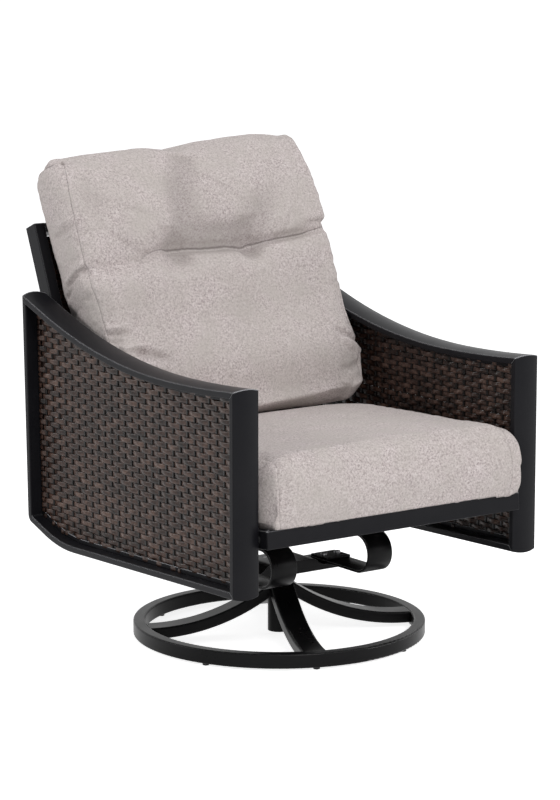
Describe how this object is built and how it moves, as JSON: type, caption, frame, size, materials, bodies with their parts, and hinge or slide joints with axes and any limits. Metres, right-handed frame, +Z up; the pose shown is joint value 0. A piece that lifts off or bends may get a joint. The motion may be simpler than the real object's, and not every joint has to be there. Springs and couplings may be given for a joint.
{
  "type": "swivel rocker chair",
  "caption": "Outdoor swivel rocker armchair: round base ring with swept legs, swivel hub, C spring rocker, flat metal frame with woven panels, loose cushions.",
  "frame": {"origin": "on the floor, on the swivel axis, at the centre of the round base", "axes": "+Z up along the swivel axis, -Y to where the sitter faces, +X to the chair's right side seen from its front"},
  "size_m": [0.755, 0.8827, 1.0059],
  "materials": {
    "coated_frame": "satin",
    "black_steel": "satin",
    "resin_weave": "matte",
    "cushion_fabric": "matte",
    "black_nylon": "matte",
    "plated_steel": "satin",
    "seat_webbing": "matte"
  },
  "bodies": {
    "base": {"base_ring": "black_steel", "glides": "black_nylon", "base_leg_right": "black_steel", "base_leg_rear": "black_steel", "base_leg_left": "black_steel", "base_leg_front": "black_steel", "hub_tube": "black_steel", "upper_bush": "black_nylon", "lower_bush": "black_nylon", "thrust_washer": "black_nylon", "hub_plug": "black_nylon"},
    "swivel": {"swivel_spindle": "plated_steel", "spindle_bolts": "plated_steel", "keeper_washer": "plated_steel", "keeper_bolt": "plated_steel", "spring_beam": "black_steel", "spring_left": "black_steel", "spring_right": "black_steel", "spring_clamp_left": "black_steel", "spring_clamp_right": "black_steel", "lower_spring_bolts": "plated_steel", "lower_spring_nuts": "plated_steel"},
    "seat": {"left_arm_rail": "coated_frame", "left_front_post": "coated_frame", "left_lower_rail": "coated_frame", "left_panel_frame": "coated_frame", "left_weave_panel": "resin_weave", "right_arm_rail": "coated_frame", "right_front_post": "coated_frame", "right_lower_rail": "coated_frame", "right_panel_frame": "coated_frame", "right_weave_panel": "resin_weave", "spring_bracket_left": "black_steel", "spring_bracket_right": "black_steel", "upper_spring_bolts": "plated_steel", "seat_front_rail": "coated_frame", "seat_rear_rail": "coated_frame", "seat_left_rail": "coated_frame", "seat_right_rail": "coated_frame", "cross_tube_front": "coated_frame", "cross_tube_rear": "coated_frame", "seat_webbing": "seat_webbing", "back_left_stile": "coated_frame", "back_right_stile": "coated_frame", "back_top_rail": "coated_frame", "back_bottom_rail": "coated_frame", "back_panel_frame": "coated_frame", "back_weave_panel": "resin_weave", "frame_bolts": "plated_steel", "frame_spacers": "black_nylon", "seat_cushion": "cushion_fabric", "back_cushion": "cushion_fabric"}
  },
  "joints": [
    {"name": "swivel_turn", "type": "hinge", "parent": "base", "child": "swivel", "pos_m": [0, 0, 0.121], "axis": [0, 0, 1], "continuous": true},
    {"name": "seat_rock", "type": "hinge", "parent": "swivel", "child": "seat", "pos_m": [0, -0.146, 0.187], "axis": [1, 0, 0], "range_deg": [-12, 8], "stiffness_Nm_per_rad": 900, "springref_deg": 3.7, "deforming": ["spring_left", "spring_right"]}
  ]
}
